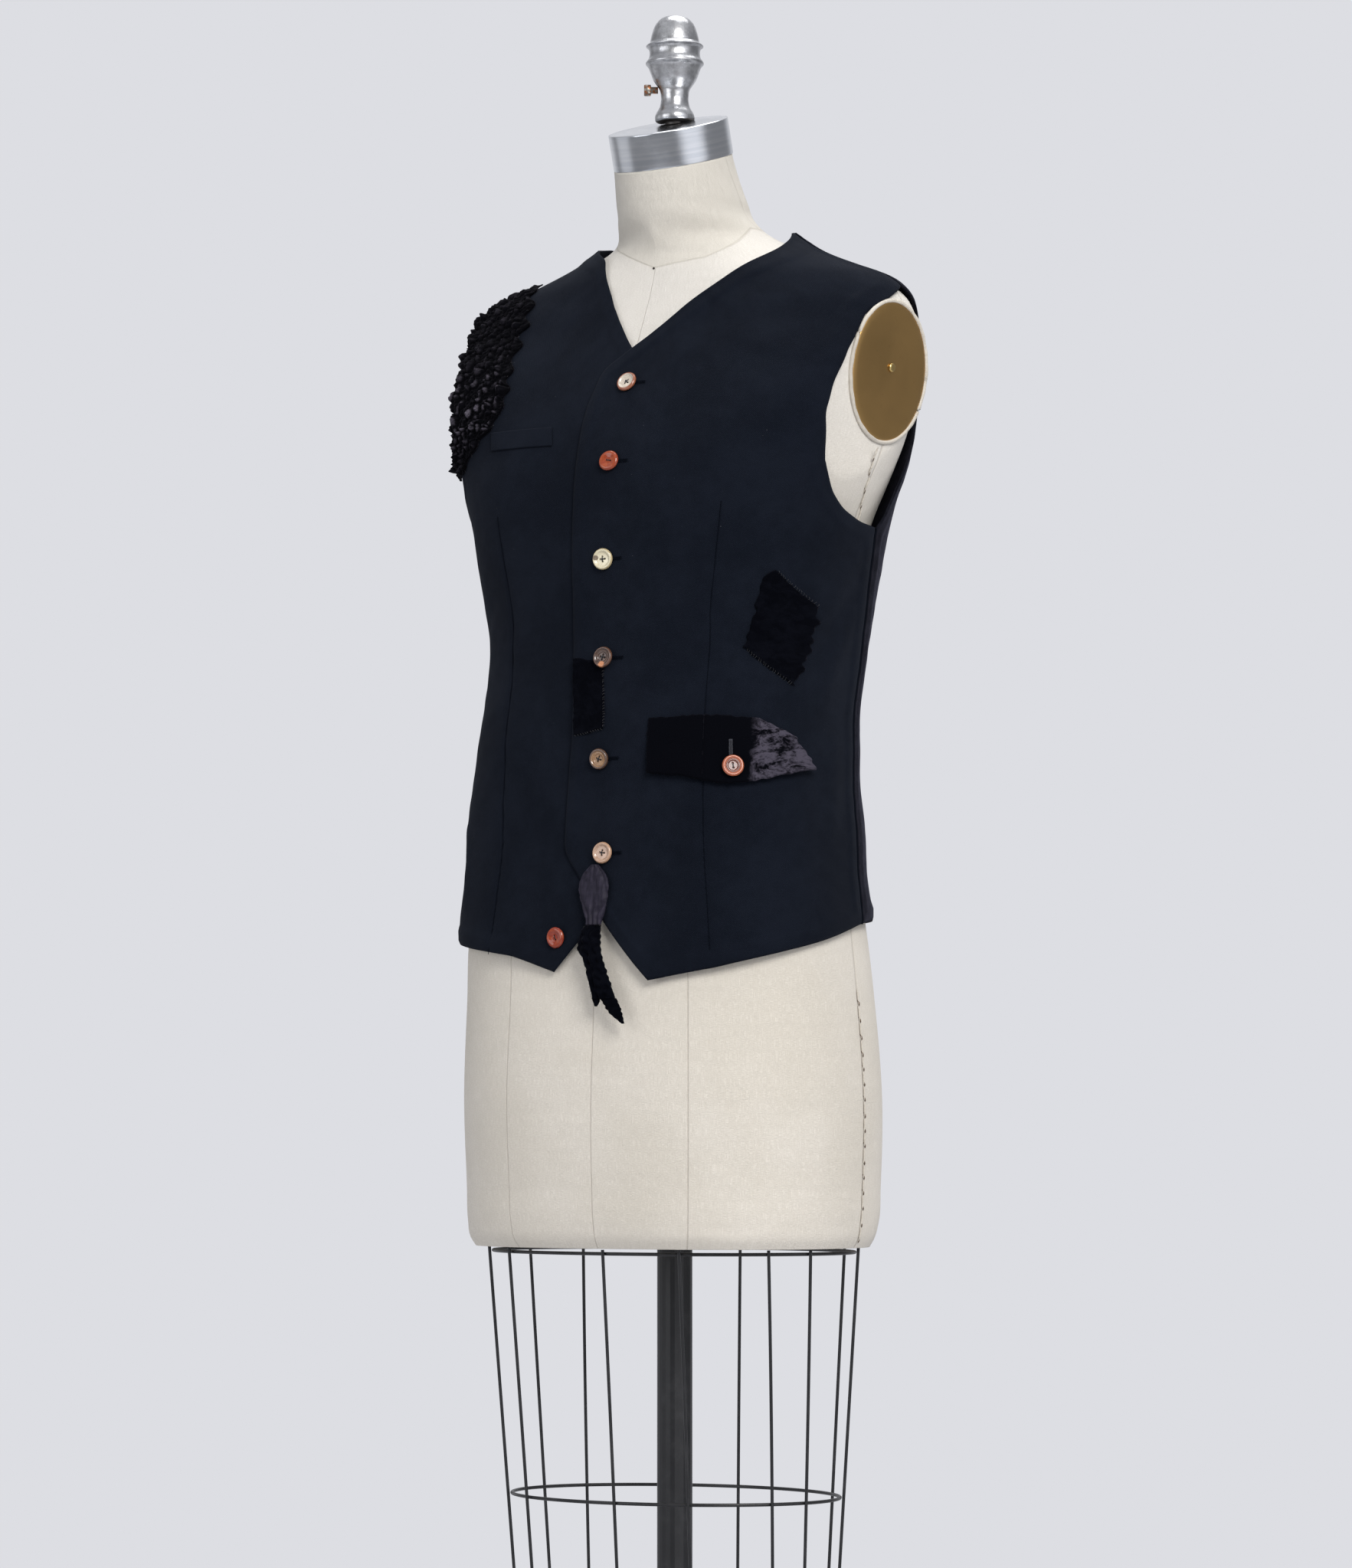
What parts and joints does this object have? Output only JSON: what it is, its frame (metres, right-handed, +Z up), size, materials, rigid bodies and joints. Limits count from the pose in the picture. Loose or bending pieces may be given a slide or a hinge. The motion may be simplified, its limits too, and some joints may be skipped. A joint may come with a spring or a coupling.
{
  "type": "waistcoat on a dress form",
  "caption": "Hip-length sleeveless waistcoat with odd buttons, patches and a gathered armhole trim, worn on a limbless linen dress form on a pole with a wire cage.",
  "frame": {"origin": "on the floor, on the axis of the pole, at the middle of the four feet", "axes": "+Z up along the pole, -Y the way the chest faces, +X towards the wearer's left"},
  "size_m": [0.3974, 0.3974, 1.5941],
  "materials": {
    "navy_wool": "napped navy-black wool",
    "black_velvet": "worn black velvet",
    "dark_satin": "soft purple-grey satin",
    "linen_cover": "pale linen stretched over papier mache",
    "brushed_steel": "brushed neck cap and cast finial",
    "matt_brass": "matt old gold",
    "black_paint": "black enamel on iron",
    "button_1": "mother of pearl with a copper edge, one of eight odd buttons",
    "button_2": "glossy rust orange",
    "button_3": "cream pearl",
    "button_4": "brown shell",
    "button_5": "golden brown",
    "button_6": "pinkish beige",
    "button_tip": "glossy red orange",
    "button_flap": "salmon orange"
  },
  "bodies": {
    "root": {"arm_plate_left": "matt_brass", "arm_plate_right": "matt_brass", "back_panel": "black_velvet", "base_hub": "black_paint", "base_leg_1": "black_paint", "base_leg_2": "black_paint", "base_leg_3": "black_paint", "base_leg_4": "black_paint", "button_1": "button_1", "button_2": "button_2", "button_3": "button_3", "button_4": "button_4", "button_5": "button_5", "button_6": "button_6", "button_flap": "button_flap", "button_tip": "button_tip", "cage_hoop_foot": "black_paint", "cage_hoop_middle": "black_paint", "cage_hoop_top": "black_paint", "cage_wire_01": "black_paint", "cage_wire_02": "black_paint", "cage_wire_03": "black_paint", "cage_wire_04": "black_paint", "cage_wire_05": "black_paint", "cage_wire_06": "black_paint", "cage_wire_07": "black_paint", "cage_wire_08": "black_paint", "cage_wire_09": "black_paint", "cage_wire_10": "black_paint", "cage_wire_11": "black_paint", "chest_welt": "navy_wool", "diamond_patch": "black_velvet", "finial": "brushed_steel", "front_left": "navy_wool", "front_right": "navy_wool", "neck_cap": "brushed_steel", "placket_patch": "black_velvet", "plate_pin_left": "matt_brass", "plate_pin_right": "matt_brass", "pocket_flap": "black_velvet", "pole": "black_paint", "ruffle": "black_velvet", "set_screw": "matt_brass", "tie_satin": "dark_satin", "tie_tail_left": "black_velvet", "tie_tail_right": "black_velvet", "tie_velvet": "black_velvet", "torso": "linen_cover"}
  },
  "joints": []
}
